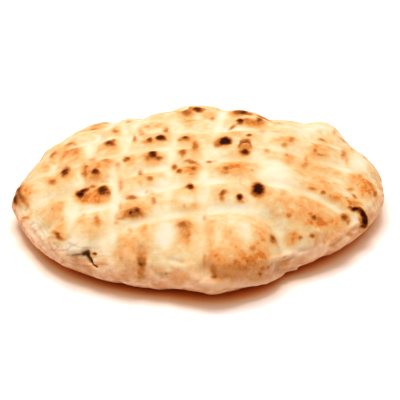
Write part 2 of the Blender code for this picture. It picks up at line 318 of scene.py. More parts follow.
SCORCHES_AND_SHADE = (                      # middle, half width and half height in pixels, how dark it is; a few are painted shade
    # the far rim
    (190, 107.7, 4.0, 1.2, 0.50), (197, 107.8, 4.6, 1.4, 0.86), (203.5, 108.8, 2.5, 1.0, 0.40),
    (186.5, 111.8, 4.4, 2.4, 0.56), (206, 116.8, 2.5, 1.5, 0.25), (212, 118.8, 2.2, 1.8, 0.40),
    (218, 109, 4.0, 1.0, 0.20), (238, 111.8, 5.0, 2.2, 0.60), (243.5, 112, 4.0, 1.8, 0.76),
    (250, 113.4, 3.2, 1.3, 0.45), (240.5, 120, 2.8, 2.0, 0.86), (246.5, 119.6, 3.0, 1.5, 0.50),
    (252, 122.3, 4.0, 2.0, 0.52), (259, 119.8, 2.6, 1.8, 0.66), (262, 131, 3.5, 1.8, 0.28),
    (147, 126.5, 3.0, 1.5, 0.30), (151, 123.5, 2.0, 1.2, 0.25), (190.5, 125.4, 3.0, 1.5, 0.20),
    (166.5, 131.5, 2.8, 1.1, 0.48),
    # the second row of cells from the back
    (161, 136.6, 3.5, 1.9, 0.95), (149.5, 139.5, 2.6, 2.0, 0.66), (146, 141.2, 4.0, 1.5, 0.38),
    (135, 138.5, 2.0, 2.5, 0.45), (142, 134, 3.0, 3.0, 0.33), (185.5, 137.2, 3.6, 1.6, 0.70),
    (180, 139.5, 3.0, 1.4, 0.40), (110, 142.2, 4.0, 2.1, 0.76), (104, 136, 3.0, 3.0, 0.22),
    (115, 131, 3.0, 1.5, 0.45), (99, 148, 2.0, 4.0, 0.22), (76, 151, 3.0, 3.0, 0.42),
    (70, 153, 5.0, 2.0, 0.30), (249.5, 134.5, 2.6, 1.2, 0.62), (275, 131, 4.0, 1.0, 0.22),
    (225.3, 140.8, 4.0, 2.1, 1.45), (222.5, 142.2, 6.2, 3.0, 0.68), (218.5, 144.6, 4.0, 2.2, 0.55),
    (244.5, 150.3, 3.8, 2.2, 0.90), (245, 146.5, 5.0, 3.8, 0.46), (284, 144.5, 2.5, 2.0, 0.40),
    (291, 138.5, 3.0, 2.0, 0.42), (267, 150.5, 3.0, 2.0, 0.35), (319, 131, 3.0, 2.0, 0.20),
    (334, 131, 3.0, 1.5, 0.30), (315.5, 150.5, 2.0, 2.0, 0.50), (343.5, 153.5, 2.6, 4.2, 0.42),
    (347, 159.5, 2.0, 3.5, 0.32), (305.5, 165, 3.0, 3.0, 0.38), (306, 160, 2.0, 4.0, 0.30),
    # the third row
    (182.5, 151.4, 3.0, 2.4, 0.62), (195, 147, 2.8, 3.6, 0.52), (153, 153, 3.3, 2.5, 0.94),
    (157.5, 157, 4.2, 2.0, 0.62), (148, 157, 3.0, 2.4, 0.48), (127.5, 158, 2.6, 1.6, 0.70),
    (124.5, 160.5, 2.0, 1.5, 0.50), (118, 165, 3.0, 3.0, 0.32), (52, 181, 3.4, 2.4, 0.50),
    (47, 167, 3.0, 3.0, 0.22), (54, 163, 3.0, 2.0, 0.25), (95.5, 170.4, 3.0, 2.5, 0.96),
    (95, 176, 5.0, 2.5, 0.40), (85.5, 171, 2.4, 6.0, 0.50), (107, 160, 5.0, 2.0, 0.38),
    (107, 165, 3.0, 3.0, 0.28), (92, 160, 4.0, 2.0, 0.30), (174.5, 167, 2.6, 2.2, 0.56),
    (180, 170, 2.6, 1.7, 0.68), (193.8, 168.3, 2.6, 2.0, 0.60), (192, 173.5, 3.0, 1.8, 0.35),
    (150, 178, 3.0, 2.0, 0.52), (141, 173.5, 2.2, 2.2, 0.42), (190, 186, 3.0, 2.2, 0.93),
    (209.8, 161.6, 3.2, 1.2, 0.48), (215, 161.5, 3.0, 1.2, 0.25), (226, 167.3, 3.0, 2.0, 0.52),
    (225, 170.5, 5.0, 1.8, 0.40), (237, 170, 4.0, 1.0, 0.30), (240, 182, 2.0, 3.0, 0.20),
    (93, 186, 3.0, 1.5, 0.55), (80.5, 193.4, 3.2, 2.8, 1.02), (86, 195, 4.0, 2.2, 0.50),
    (102.8, 189.3, 4.2, 3.8, 0.90), (107.5, 192.5, 2.5, 2.5, 0.66), (19.5, 191, 4.0, 5.0, 0.62),
    (16.5, 198, 3.0, 4.0, 0.74), (16, 201, 2.0, 2.5, 0.86),
    # the fourth row
    (132, 197, 5.4, 2.0, 0.50), (121, 185, 2.5, 6.0, 0.32), (119.5, 246, 2.0, 14.0, 0.22),
    (147, 192, 2.0, 2.0, 0.25), (152, 193, 3.0, 2.0, 0.25), (153.5, 200, 2.5, 3.0, 0.42),
    (133, 210.5, 8.0, 4.0, 0.60), (137, 209.6, 2.8, 2.6, 0.82), (130.5, 212.2, 2.6, 2.6, 0.74),
    (126, 215.5, 2.6, 2.2, 0.50), (141, 213, 2.0, 2.0, 0.40), (117, 222, 2.0, 2.0, 0.35),
    (117, 217, 1.8, 3.0, 0.25), (121, 218, 4.0, 1.5, 0.35), (121, 207, 2.0, 4.0, 0.28),
    (222, 198, 2.5, 2.0, 0.48), (240, 196, 2.6, 2.6, 0.90), (241, 200.5, 4.0, 2.5, 0.35),
    (258.5, 186.3, 4.6, 4.3, 1.20), (256, 192, 4.0, 3.0, 0.70), (283.5, 192, 3.0, 3.0, 0.28),
    (323, 192, 2.6, 1.6, 0.55), (350, 189, 3.0, 2.0, 0.38), (360, 176.5, 2.0, 2.0, 0.40),
    (375.3, 193, 1.4, 3.0, 0.52),
    # the front, on the left
    (26.5, 217.5, 3.5, 1.5, 0.44), (57.5, 235.5, 2.6, 2.4, 0.50), (63, 220, 2.0, 2.4, 0.28),
    (60, 202, 3.0, 1.3, 0.28), (97, 219, 2.4, 5.0, 0.42), (84, 215, 2.0, 1.5, 0.25),
    (62, 262, 3.0, 1.5, 0.28), (94.2, 252.8, 2.0, 1.3, 0.70), (121.5, 258, 2.0, 2.0, 0.38),
    (130, 230, 2.0, 3.0, 0.25), (142, 252, 5.0, 3.0, 0.36), (141.5, 258, 3.8, 4.0, 0.60),
    (141.5, 262, 3.8, 3.0, 0.66), (141, 269, 3.6, 6.0, 0.42), (141, 276, 3.6, 4.0, 0.38),
    # the broad faint marks at 131, 266 and at 180, 277 are painted shade low on the front
    (152, 268, 2.0, 3.0, 0.25), (131, 266, 9.0, 9.0, 0.27), (158, 270, 8.0, 4.5, 0.24),
    (166, 274, 2.0, 1.5, 0.34), (180, 277, 10.0, 5.0, 0.25), (184, 206, 1.5, 2.0, 0.30),
    (183.5, 223.5, 6.0, 4.0, 0.52), (183, 222.5, 3.6, 2.0, 0.58), (184, 231, 5.0, 8.0, 0.36),
    (187.5, 235.5, 3.0, 6.0, 0.40),
    # the front, on the right
    (205, 217.5, 2.0, 3.0, 0.28), (212, 221, 3.0, 2.0, 0.22), (271.5, 211.5, 3.0, 2.5, 0.20),
    # painted shade: the marks down the lobe's left edge, from 204, 260 to 213.5, 274.5, and the broad
    # bands along its foot at 228, 274.5 and 256, 274
    (289, 214.7, 2.6, 2.4, 0.45), (296, 219, 2.5, 2.0, 0.22), (204, 260, 1.8, 7.0, 0.33),
    (212.5, 268, 4.5, 6.0, 0.46), (213.5, 274.5, 4.0, 3.0, 0.56), (228, 274.5, 14.0, 5.0, 0.34),
    (256, 274, 12.0, 4.0, 0.25), (217, 264, 2.0, 2.0, 0.40), (219, 268.5, 2.5, 2.0, 0.35),
    (231, 266, 2.0, 2.0, 0.22), (236, 262, 2.4, 3.6, 0.50), (245, 265.5, 3.0, 2.0, 0.46),
    (253, 260, 4.0, 3.0, 0.44), (251, 262, 7.0, 4.5, 0.40), (238, 263, 18.0, 4.5, 0.42),
    (219, 264, 8.0, 4.0, 0.34), (253, 247.3, 3.0, 2.6, 0.44), (264, 268, 3.6, 2.2, 0.46),
    (270, 267.3, 2.4, 1.6, 0.40), (262.5, 274, 2.4, 2.4, 0.56), (261, 279, 3.0, 2.0, 0.26),
    (257, 281, 2.0, 1.5, 0.30), (248, 277, 1.2, 1.8, 0.34), (286, 263, 3.0, 2.0, 0.36),
    (300, 237, 2.0, 2.0, 0.48), (305, 224, 2.0, 2.0, 0.30), (312.5, 235, 2.8, 2.4, 0.60),
    (326, 235, 14.0, 6.0, 0.28), (341, 229, 8.0, 4.0, 0.26), (360, 220, 2.0, 5.0, 0.40),
    (314, 216.8, 1.9, 2.2, 0.74), (332.5, 244.5, 4.0, 2.6, 0.32), (343.5, 217.2, 2.5, 2.8, 0.68),
    (347.5, 221.5, 1.8, 3.0, 0.42), (349, 234, 3.0, 2.4, 0.38), (355.5, 207.6, 3.6, 1.7, 1.05),
    (364.3, 219.5, 2.1, 4.8, 1.15), (360, 211, 2.4, 1.8, 0.70), (363, 225, 2.6, 1.8, 0.82),
    # the faint mark at 367, 230 is painted shade by the rim
    (350.5, 207, 2.2, 1.6, 0.60), (356, 203, 5.0, 2.0, 0.34), (367, 230, 3.0, 3.0, 0.25),
)
SCORCHED_EDGES_AND_SHADE = (                # pixels along the edge, half its width in pixels, how dark it is; one is painted shade
    (((88, 127), (95, 125.8), (104, 123.6), (109, 123)), 0.9, 0.40),
    (((64, 138), (70, 134), (78, 130.8)), 1.6, 0.36),
    (((125, 123), (131, 121.5)), 1.3, 0.30),
    (((256, 115.6), (262, 117.2), (268, 120), (274, 122.2)), 1.1, 0.50),
    (((272, 122), (284, 123)), 1.0, 0.30),
    (((229, 129.6), (233, 127.2), (237, 124.4)), 1.4, 0.46),
    (((245, 150.8), (240.8, 149.4), (239.6, 146.4), (241.2, 143.4), (245, 142.2), (248.9, 143.4),
      (250.5, 146.4), (249.2, 149.4), (245, 150.8)), 1.4, 0.62),
    (((50, 158.5), (53, 155), (58, 152)), 1.4, 0.50),
    (((64, 147), (68, 144.8), (73, 144), (79, 145.6)), 1.3, 0.42),
    (((111, 142.5), (115, 139.5)), 1.4, 0.50),
    (((318, 139.7), (322, 140.2), (326, 142.5)), 1.4, 0.45),
    (((338, 137), (344, 141), (350, 145), (352.5, 151)), 1.3, 0.42),
    (((316, 153), (320, 154.5), (327, 154.5)), 1.3, 0.46),
    (((61.5, 174), (65, 171.8), (69.5, 169.4)), 2.1, 0.84),
    (((184, 162), (190, 160.8), (194, 163), (199, 165)), 1.7, 0.52),
    (((189, 162.2), (193, 163.5)), 1.4, 0.56),
    (((100, 182.5), (109, 182)), 1.1, 0.35),
    (((78, 194.5), (83, 192), (88, 189.3)), 2.0, 0.88),
    (((24, 184.5), (20.5, 188), (17.5, 192), (16, 198)), 1.7, 0.66),
    (((222, 199), (221.3, 195), (223.5, 192.2), (227.5, 191.6)), 1.8, 0.62),
    (((307, 187), (313, 188.2), (318, 189.6)), 1.4, 0.45),
    (((329, 194), (334, 200)), 1.6, 0.35),
    (((352, 195), (357, 198.7)), 1.5, 0.50),
    (((363, 180), (369, 184.5), (373, 188.5), (375, 192.5), (376.5, 197)), 1.5, 0.42),
    (((376, 170), (378, 174)), 1.0, 0.22),
    # painted shade along the edge of the right rim
    (((381.5, 195), (381, 202), (379, 209)), 1.0, 0.20),
    (((355, 207.8), (360, 210), (363.5, 215), (364.8, 221), (363, 225.8)), 1.8, 1.10),
    (((271, 235.5), (272.5, 239), (275, 243)), 2.4, 0.60),
    (((279, 259), (286, 256.3)), 1.1, 0.35),
    (((53, 231.5), (56.5, 234), (59.5, 237.5), (63.5, 239.5)), 2.0, 0.62),
    (((49, 248), (52.5, 251.5), (56, 257)), 0.9, 0.34),
    (((170, 257), (180, 260)), 0.9, 0.25),
    (((70, 240.5), (76, 244.5), (80, 242)), 0.9, 0.18),
)
TOASTS = (                        # middle, half width and half height in pixels, strength
    # the far rim and the second row of cells
    (186, 111.5, 8.0, 5.0, 1.30), (238, 115.3, 9.0, 3.0, 1.30), (252, 122.3, 8.0, 4.0, 1.30),
    (260, 122, 6.0, 4.0, 1.00), (209, 116.8, 8.0, 3.2, 0.70), (117, 128, 6.0, 4.0, 0.50),
    (158.5, 125.5, 5.0, 2.5, 0.50), (236, 133, 8.0, 2.5, 0.40), (155, 138, 13.0, 5.0, 0.45),
    (185, 138.5, 9.0, 5.0, 0.45), (108, 146, 10.0, 6.0, 0.60), (68, 152, 14.0, 7.5, 0.95),
    (57, 160, 8.0, 6.0, 0.50), (221, 143.5, 8.0, 5.0, 0.42), (245, 146.5, 6.0, 4.2, 1.20),
    (284, 140, 10.0, 4.0, 0.60), (322, 147.5, 13.0, 8.0, 0.75), (289, 158, 7.0, 6.0, 0.75),
    (343, 153, 8.0, 6.0, 0.45),
    # the third row
    (64, 172, 9.0, 6.0, 0.55), (52, 181, 7.0, 4.0, 0.70), (45, 168, 6.0, 5.0, 0.40),
    (95, 165.5, 11.0, 6.5, 0.75), (86, 171, 5.0, 8.0, 1.30), (95, 177, 9.0, 4.0, 0.60),
    (127, 159, 9.0, 6.0, 0.60), (153, 156.5, 13.0, 6.0, 0.60), (182, 150.5, 8.0, 4.0, 0.40),
    (195, 149, 6.0, 6.0, 0.50), (190, 167.5, 12.0, 6.5, 0.95), (174, 168, 6.0, 4.0, 0.55),
    (125, 176, 12.0, 8.0, 0.35), (150, 177, 10.0, 6.0, 0.35), (140, 182, 4.0, 3.5, 0.60),
    (239, 165, 16.0, 7.5, 0.80), (231, 169, 8.0, 4.0, 0.45), (219, 169, 6.0, 3.0, 0.60),
    (188, 187, 8.0, 5.0, 0.45), (25, 191, 7.0, 7.0, 0.90), (18, 201, 6.0, 6.0, 1.00),
    # the fourth row
    (80, 198, 6.0, 3.0, 1.00), (91, 199, 14.0, 5.0, 1.30), (95, 193, 13.0, 6.0, 1.10),
    (93, 186, 10.0, 4.0, 0.50), (54, 210, 12.0, 10.0, 0.35), (60, 205, 4.0, 5.0, 0.50),
    (46, 215, 6.0, 9.0, 0.50), (60, 226, 5.0, 9.0, 0.60), (80, 220, 5.0, 8.0, 0.40),
    (95, 219, 5.0, 7.0, 0.50), (88, 225, 9.0, 9.0, 0.35), (130, 203.5, 11.0, 5.0, 0.75),
    (139, 206.5, 5.0, 4.0, 0.50), (146, 205, 5.0, 8.0, 0.50), (131, 211, 12.0, 7.0, 0.45),
    (120, 187, 4.0, 7.0, 0.40), (173, 202, 9.0, 3.0, 0.40), (190, 212, 9.0, 4.0, 0.40),
    (222, 195, 8.0, 5.0, 0.60), (240, 199, 7.0, 5.0, 0.45), (267, 191.5, 7.0, 6.0, 0.45),
    (255, 190, 8.0, 6.0, 0.45), (284, 206, 20.0, 9.0, 0.55), (308, 205, 22.0, 12.0, 0.70),
    (320, 185, 14.0, 6.0, 0.85), (318, 175, 22.0, 10.0, 0.50), (338, 197, 7.0, 5.0, 0.85),
    (352, 203, 10.0, 5.0, 1.00), (356, 179, 9.0, 8.0, 1.00), (367, 187, 10.0, 9.0, 1.15),
    # the front
    (323, 222, 17.0, 7.0, 0.82), (312, 218, 14.0, 9.0, 0.75), (340, 222, 8.0, 7.0, 0.45),
    (292.5, 237, 9.0, 5.5, 0.82), (290, 243, 6.0, 5.0, 0.60), (229, 233, 8.0, 8.0, 0.55),
    (262, 232, 12.0, 9.0, 0.50), (205, 225, 5.0, 9.0, 0.45), (209, 240, 6.0, 16.0, 0.55),
    (240, 250, 32.0, 12.0, 0.60), (201, 252, 6.0, 14.0, 0.60), (201, 232, 6.0, 10.0, 0.45),
    (263, 245, 9.0, 10.0, 0.55), (257, 257, 13.0, 10.0, 1.10), (237, 264, 26.0, 6.5, 1.50),
    (213, 262, 8.0, 8.0, 0.80), (240, 273, 26.0, 6.0, 0.45), (144, 229, 4.0, 7.0, 0.80),
    (104, 262, 6.0, 6.0, 0.45), (126, 245, 9.0, 14.0, 0.60), (118, 252, 8.0, 10.0, 0.40),
    (200, 208, 8.0, 6.0, 0.80), (201, 190, 7.0, 8.0, 0.55), (301, 170, 9.0, 6.0, 0.50),
    (141, 240, 8.0, 20.0, 0.35), (187, 232, 6.0, 14.0, 0.40), (57, 234, 8.0, 6.0, 0.90),
    (24, 223, 5.0, 5.0, 0.50), (22, 208, 5.0, 8.0, 0.20),
)
FLOUR_AND_LIGHT_PATCHES = (                        # the same, for pale patches: most stayed floury, and a few are painted light
    (72, 212, 7.0, 13.0, 0.80), (95, 207, 12.0, 3.0, 0.70), (112, 236, 5.0, 10.0, 0.90),
    # the patch at 165, 235 is a painted highlight
    (165, 235, 10.0, 14.0, 1.20), (159, 214, 7.0, 8.0, 0.80), (247, 234, 7.0, 13.0, 0.62),
    (240, 209, 32.0, 5.5, 1.00), (277, 172, 21.0, 12.0, 1.00), (380, 171, 6.0, 8.0, 0.80),
    (382, 208, 6.0, 12.0, 0.80), (20, 211, 6.0, 8.0, 0.80), (257, 158, 9.0, 6.0, 0.60),
    # the patch at 360, 161 is painted light
    (277, 147, 10.0, 4.0, 0.70), (360, 161, 11.0, 11.0, 0.90), (162, 183, 11.0, 6.0, 1.00),
    (132, 220, 8.0, 4.0, 0.60), (89, 149, 6.0, 9.0, 1.00), (124, 136, 5.0, 14.0, 0.80),
    (114, 179, 6.0, 10.0, 0.90), (80, 178, 4.0, 12.0, 0.60), (202, 250, 5.0, 28.0, 0.55),
    # the patch at 72, 246 is painted light on the flap
    (103, 251, 9.0, 8.0, 0.70), (72, 246, 14.0, 7.0, 1.00), (312, 128, 20.0, 6.0, 0.80),
    (356, 190, 5.0, 12.0, 0.70), (215, 126, 8.0, 5.0, 0.70), (215, 152, 7.0, 12.0, 0.60),
    (335, 160, 8.0, 4.0, 0.50), (36, 205, 11.0, 8.0, 0.60), (185, 200, 14.0, 4.0, 0.50),
    # the patches at 33, 234 and 310, 250 are painted light on the side
    (33, 234, 12.0, 14.0, 1.00), (54, 252, 14.0, 7.0, 0.80), (310, 250, 24.0, 7.0, 0.80),
    (356, 219, 4.0, 6.0, 0.90), (262, 212, 10.0, 4.0, 0.70), (178, 124, 12.0, 4.0, 0.50),
    (284, 253, 4.0, 3.0, 0.80),
)
WIDEST_PIXEL = 1.0                # mm of skin that a pixel covers at most, from side to side
DEEPEST_PIXEL = 3.5               # and from front to back, so that no mark runs on over the far side
SIGHT_STOPS = range(-100, 105, 5)  # mm past the loaf's middle, where a line of sight is tried
WANDER = 0.6                      # mm that the marks' outlines wander
WANDER_LENGTH = 5.0               # mm
WANDER_SHIFT = 31.0               # between the two ways that they wander in
NOISE_FALL = 0.7                  # how fast the finer octaves of the unevenness weaken
NOISE_STEP = 2.0                  # how much finer each octave is
PATCH_EDGE = 3                    # how sharply a toasted or floury patch ends
FAR_SEED = 23
FAR_FACING = -0.05                # how far a place of the far side may face the camera
FAR_MARKS = 30                    # tried, and kept where they are out of sight
FAR_TURN = (0.10, 0.92)           # of half a turn, counted from the right round the back
FAR_REACH = (70.0, 104.0)         # mm along the skin
FAR_HALF_WIDTH = (1.0, 2.6)       # mm
FAR_STRETCH = (1.0, 1.8)          # how much wider than deep a mark is
FAR_SLANT = (-0.6, 0.6)           # and how much it leans, in its half widths
FAR_DARKNESS = (0.25, 1.0)
FAR_TOAST_SIZE = (6.0, 11.0)      # mm
FAR_TOAST = (0.4, 0.9)
SCORCH_SPREAD = 1.30              # of its half width, where a mark has half its darkness
SCORCH_EDGE = 2.4                 # how sharply it ends
EDGE_FADE = 0.45                  # of its darkness, that a scorched edge keeps at its ends
LARGEST_BLISTER = 3.5             # mm, half its width
BLISTER_SPREAD = 1.5              # how far a mark's blister spreads, in its half widths
BLISTER_SHIFT = 0.5               # how far that lifts a black mark, in its half widths
HALO_REACH = 3.0                  # mm that the brown around a mark reaches past its blister
HALO_FULL = 2.0                   # mm, the half width of the smallest mark with a full halo
BUBBLE_SEED = 5
BUBBLES = 520                     # small ones, tried all over the crown and kept where it is toasted
BUBBLE_REACH = 103.0              # mm along the skin
BUBBLE_RADIUS = (0.9, 2.0)        # mm
BUBBLE_STRETCH = 1.5              # they run a little longer from front to back
BUBBLE_SHARE = 0.24               # of its radius, that a bubble stands up
BUBBLE_CHANCE = (0.15, 0.85)      # that one is kept on pale skin, and what full toasting adds
BUBBLE_FLOUR = 0.4                # above which a groove has no bubbles
BUBBLE_SCORCH = (0.20, 0.50)      # the most that one is scorched, and what toasting adds
BUBBLE_TIP = 0.8                  # of its radius, that is scorched


def wavy(size, shift=0.0, octaves=2):
    """Smooth unevenness between about -1 and 1 at each point of the dough, in waves of a size in mm."""
    offset = Vector((shift, shift, shift))
    spots = [vert.co / (size * MM) + offset for vert in dough.verts]
    return np.array([noise.fractal(spot, NOISE_FALL, NOISE_STEP, octaves) for spot in spots])


def skin_place(px, py):
    """The place on the skin that the picture shows at a pixel."""
    direction = sight_line(px, py)
    place, _, face, _ = dough_tree.ray_cast(camera.location, direction)
    if place is None:  # just off the outline, so the nearest place on the rim
        stops = [camera.location + direction * (VIEW_DISTANCE + stop * MM) for stop in SIGHT_STOPS]
        place, _, face, _ = min(map(dough_tree.find_nearest, stops), key=lambda found: found[3])
    corners = [vert.index for vert in dough.faces[face].verts]
    weights = poly_3d_calc([dough.verts[corner].co for corner in corners], place)
    return np.array([np.dot(weights, skin_x[corners]), np.dot(weights, skin_y[corners])])


dough.verts.ensure_lookup_table()
dough.faces.ensure_lookup_table()
dough_tree = BVHTree.FromBMesh(dough)
marked_x = skin_x + WANDER * wavy(WANDER_LENGTH)
marked_y = skin_y + WANDER * wavy(WANDER_LENGTH, WANDER_SHIFT)


def soft_step(value, low, high):
    """0 below low, 1 above high, and smooth between."""
    t = np.clip((value - low) / (high - low), 0.0, 1.0)
    return t * t * (3.0 - 2.0 * t)


def patch(px, py, half_wide, half_tall, strength):
    """A patch of the picture laid on the skin: its middle, its two half axes and its strength."""
    across = (skin_place(px + half_wide, py) - skin_place(px - half_wide, py)) / 2
    deep = (skin_place(px, py - half_tall) - skin_place(px, py + half_tall)) / 2
    across *= min(1.0, WIDEST_PIXEL * half_wide / np.hypot(*across))
    deep *= min(1.0, DEEPEST_PIXEL * half_tall / np.hypot(*deep))
    return skin_place(px, py), across, deep, strength


def from_middle(middle, across, deep):
    """How far each place is from a patch's middle: 1 on its edge."""
    offset_x, offset_y = marked_x - middle[0], marked_y - middle[1]
    area = across[0] * deep[1] - across[1] * deep[0]
    a = (offset_x * deep[1] - offset_y * deep[0]) / area
    b = (offset_y * across[0] - offset_x * across[1]) / area
    return np.hypot(a, b)


def cover(patches):
    """How far the patches together cover each place, from 0 to 1."""
    bare = np.ones(len(reach))
    for middle, across, deep, strength in patches:
        fade = np.exp(-(from_middle(middle, across, deep) ** PATCH_EDGE))
        bare *= 1.0 - np.minimum(strength * fade, 1.0)
    return 1.0 - bare


scorch_and_shade_spots = [
    patch(px, py + BLISTER_SHIFT * half * dark, half, half_tall, dark)
    for px, py, half, half_tall, dark in SCORCHES_AND_SHADE
]
for pixels, half, dark in SCORCHED_EDGES_AND_SHADE:
    edge = smooth_curve(pixels)
    for (px, py), run in zip(edge, np.linspace(0.0, 1.0, len(edge))):
        faded = dark * (EDGE_FADE + (1.0 - EDGE_FADE) * math.sin(math.pi * run))
        scorch_and_shade_spots.append(patch(px, py, half, half, faded))
toast_spots = [patch(*spot) for spot in TOASTS]

facing = np.array([vert.normal.dot((camera.location - vert.co).normalized()) for vert in dough.verts])
draw = random.Random(FAR_SEED)
for _ in range(FAR_MARKS):
    turn = math.pi * draw.uniform(*FAR_TURN)
    far = draw.uniform(*FAR_REACH)
    middle = np.array([far * math.cos(turn), far * math.sin(turn)])
    half = draw.uniform(*FAR_HALF_WIDTH)
    across = np.array([half * draw.uniform(*FAR_STRETCH), half * draw.uniform(*FAR_SLANT)])
    darkening = (middle, across, np.array([0.0, half]), draw.uniform(*FAR_DARKNESS))
    size = draw.uniform(*FAR_TOAST_SIZE)
    brown = draw.uniform(*FAR_TOAST)
    toasted = (middle + across, np.array([size, 0.0]), np.array([0.0, size]), brown)
    if facing[np.hypot(skin_x - middle[0], skin_y - middle[1]).argmin()] < FAR_FACING:
        scorch_and_shade_spots.append(darkening)
        toast_spots.append(toasted)

scorch = np.zeros(len(reach))
blister = np.zeros(len(reach))
halo = np.zeros(len(reach))
for middle, across, deep, dark in scorch_and_shade_spots:
    away = from_middle(middle, across, deep)
    half = min(np.hypot(*across), np.hypot(*deep), LARGEST_BLISTER)
    scorch = np.maximum(scorch, dark * np.exp2(-((away / SCORCH_SPREAD) ** SCORCH_EDGE)))
    blister = np.maximum(blister, half * dark * swell(away, BLISTER_SPREAD))
    around = dark * min(half, HALO_FULL) / HALO_FULL
    halo = np.maximum(halo, around * swell(away, BLISTER_SPREAD + HALO_REACH / half))
toast = cover(toast_spots)
flour = cover([patch(*spot) for spot in FLOUR_AND_LIGHT_PATCHES])

draw = random.Random(BUBBLE_SEED)
bubble = np.zeros(len(reach))
for _ in range(BUBBLES):
    turn = draw.uniform(0.0, math.tau)
    far = BUBBLE_REACH * math.sqrt(draw.random())
    size = draw.uniform(*BUBBLE_RADIUS)
    wanted = draw.random()
    burn = draw.random() ** 2
    gap = np.hypot(marked_x - far * math.cos(turn), (marked_y - far * math.sin(turn)) / BUBBLE_STRETCH)
    here = gap.argmin()
    if wanted < np.dot(BUBBLE_CHANCE, (1.0, toast[here])) and flour_line[here] < BUBBLE_FLOUR:
        bubble = np.maximum(bubble, size * swell(gap, size))
        burn *= np.dot(BUBBLE_SCORCH, (1.0, toast[here]))
        scorch = np.maximum(scorch, burn * swell(gap, BUBBLE_TIP * size))

# ------------------------------------------------------------------------------
# The side.  Where the dough swelled last, low at the front left, its skin tore and a flap lifted; the
# gash and the gap under the flap are darkened with painted shade.  The rim is paler, softer dough,
# creased where it folded under its own weight, and its creases and the hollows of its folds are
# darkened with painted shade.

TEAR = (                          # pixels along it, half its width and its depth in mm, and how dark the painted shade in the gash is
    (((72, 255), (78, 254.4), (83.5, 253.4)), 0.9, 0.8, 0.62),
    (((83, 253.6), (85.5, 252.6), (88, 251.4)), 1.3, 1.4, 0.90),
    (((86, 252), (88, 257), (90, 261)), 1.1, 2.2, 1.00),
    (((89.5, 260.5), (92, 263.8), (97, 267)), 0.7, 1.3, 0.90),
)
LIP = ((66, 255), (73, 254.7), (80, 254), (88, 252))  # the flap's lower edge
LIP_WIDTH = 0.9                   # mm, half its shaded gap's
LIP_HEIGHT = 1.9                  # mm
LIP_REACH = 9.0                   # mm that the flap runs up the side
LIP_RISE = 0.5                    # mm on each side of the edge, over which the flap rises
LIP_START = (-0.1, 0.3)           # shares of the edge's length, over which the flap begins
LIP_END = (-1.2, -0.85)           # and ends, counted backwards
LIP_SHADE = 0.5                   # how dark the painted shade in the gap under it is
LIP_OVERHANG = 0.2                # mm above the edge, up to which the painted shade reaches
FOLDS = (                         # pixels along the fold, half its width and its height in mm; a hollow gets painted shade
    (((204, 282), (216, 285), (230, 287), (262, 283), (280, 275), (296, 268)), 1.2, 1.3),
    (((206, 268), (214, 277), (228, 281.5), (250, 280), (268, 273), (280, 268)), 3.4, -2.2),
    (((270, 260.5), (280, 258), (290, 254.5)), 1.1, 1.2),
    (((271, 264), (283, 261), (292, 257.5)), 1.2, -1.0),
    (((292, 262), (304, 257.5), (318, 251)), 1.2, -0.5),
    (((322, 254), (326, 246), (334, 240)), 1.2, 0.9),
    (((326, 256), (331, 248), (340, 242)), 1.0, -0.6),
    (((300, 251), (312, 249), (322, 243)), 1.1, -0.6),
    (((330, 249), (342, 242), (356, 233)), 1.2, 0.7),
    (((332, 244), (344, 236), (357, 227)), 1.0, -0.7),
    (((336, 239), (348, 231), (358, 223)), 1.1, 0.8),
    (((321, 246), (321.5, 239), (318, 231)), 1.1, 1.5),
    (((316, 247), (316.5, 240), (313.5, 233)), 0.8, -0.5),
    (((24, 222), (33, 234), (45, 248), (57, 258), (73, 264)), 1.3, -0.6),
    (((34, 226), (42, 238), (54, 247)), 1.2, 0.5),
    (((33, 229), (34, 236), (37, 243)), 0.9, -0.5),
    (((25, 220), (29, 230), (36, 241)), 2.2, 0.7),
    (((46, 240), (50, 247), (57, 256)), 0.9, -0.6),
    (((53, 243), (56, 249)), 0.8, -0.5),
    (((60, 262), (70, 265.5), (82, 268)), 0.9, 0.5),
    (((76, 265), (94, 271), (112, 276), (140, 281)), 1.3, -0.4),
    (((148, 264), (152, 274), (157, 281)), 1.6, 1.1),
    (((103, 246), (107, 260), (117, 273)), 2.6, 0.9),
    (((142, 248), (141, 264), (142, 279)), 2.2, -1.2),
    (((126, 252), (129, 266), (133, 279)), 2.4, 0.7),
    (((158, 281), (175, 283.5), (198, 287)), 1.4, 0.7),
    (((150, 269), (160, 276), (176, 279.5)), 1.6, -0.7),
    (((168, 259), (182, 262)), 1.0, -0.5),
    (((150, 281), (166, 276), (180, 272), (186, 277)), 1.3, -0.4),
    (((172, 265), (180, 267), (190, 265)), 1.4, 0.5),
)
DOUGH_BAND = (10 * MM, 23 * MM)   # over the table: pale dough below, toasted skin above
UNDERSIDE = (1.5 * MM, 7 * MM)    # over the table: browned sole, darkened further with painted shade, below, pale dough above
CREASE_LENGTH = 9.0               # mm round the rim
CREASE_WIDTH = 2.4                # mm across it
CREASE_SLANT = 0.12               # mm down for each mm round the rim
CREASE_SHARPNESS = 4.0            # how narrow they are for their spacing
CREASE_DEPTH = 0.22               # mm
CREASE_BAND = (93.0, 102.0)       # mm along the skin
RIDGE_NOISE = (0.30, 0.55)        # the values of the creases' noise, over which a ridge rises
RIDGE_PALENESS = 0.5
LUMP_SIZES = ((11.0, 0.32), (3.6, 0.10))  # size and height in mm
LUMP_OCTAVES = 3
RIM_LUMP_SIZE = 17.0              # mm, on the rim alone
RIM_LUMP_HEIGHT = 0.9
RIM_LUMP_SHIFT = 7.0              # so that they don't repeat the waves of the marks' outlines
BLISTER_SHARE = 0.42              # of its half width, that a blister stands up
RELIEF_RISE = (0.2 * MM, 4 * MM)  # over the table: smooth skin below, all its relief above


def skin_line(pixels):
    """A smooth line on the skin through pixels of the picture."""
    return smooth_curve([skin_place(*pixel) for pixel in pixels])


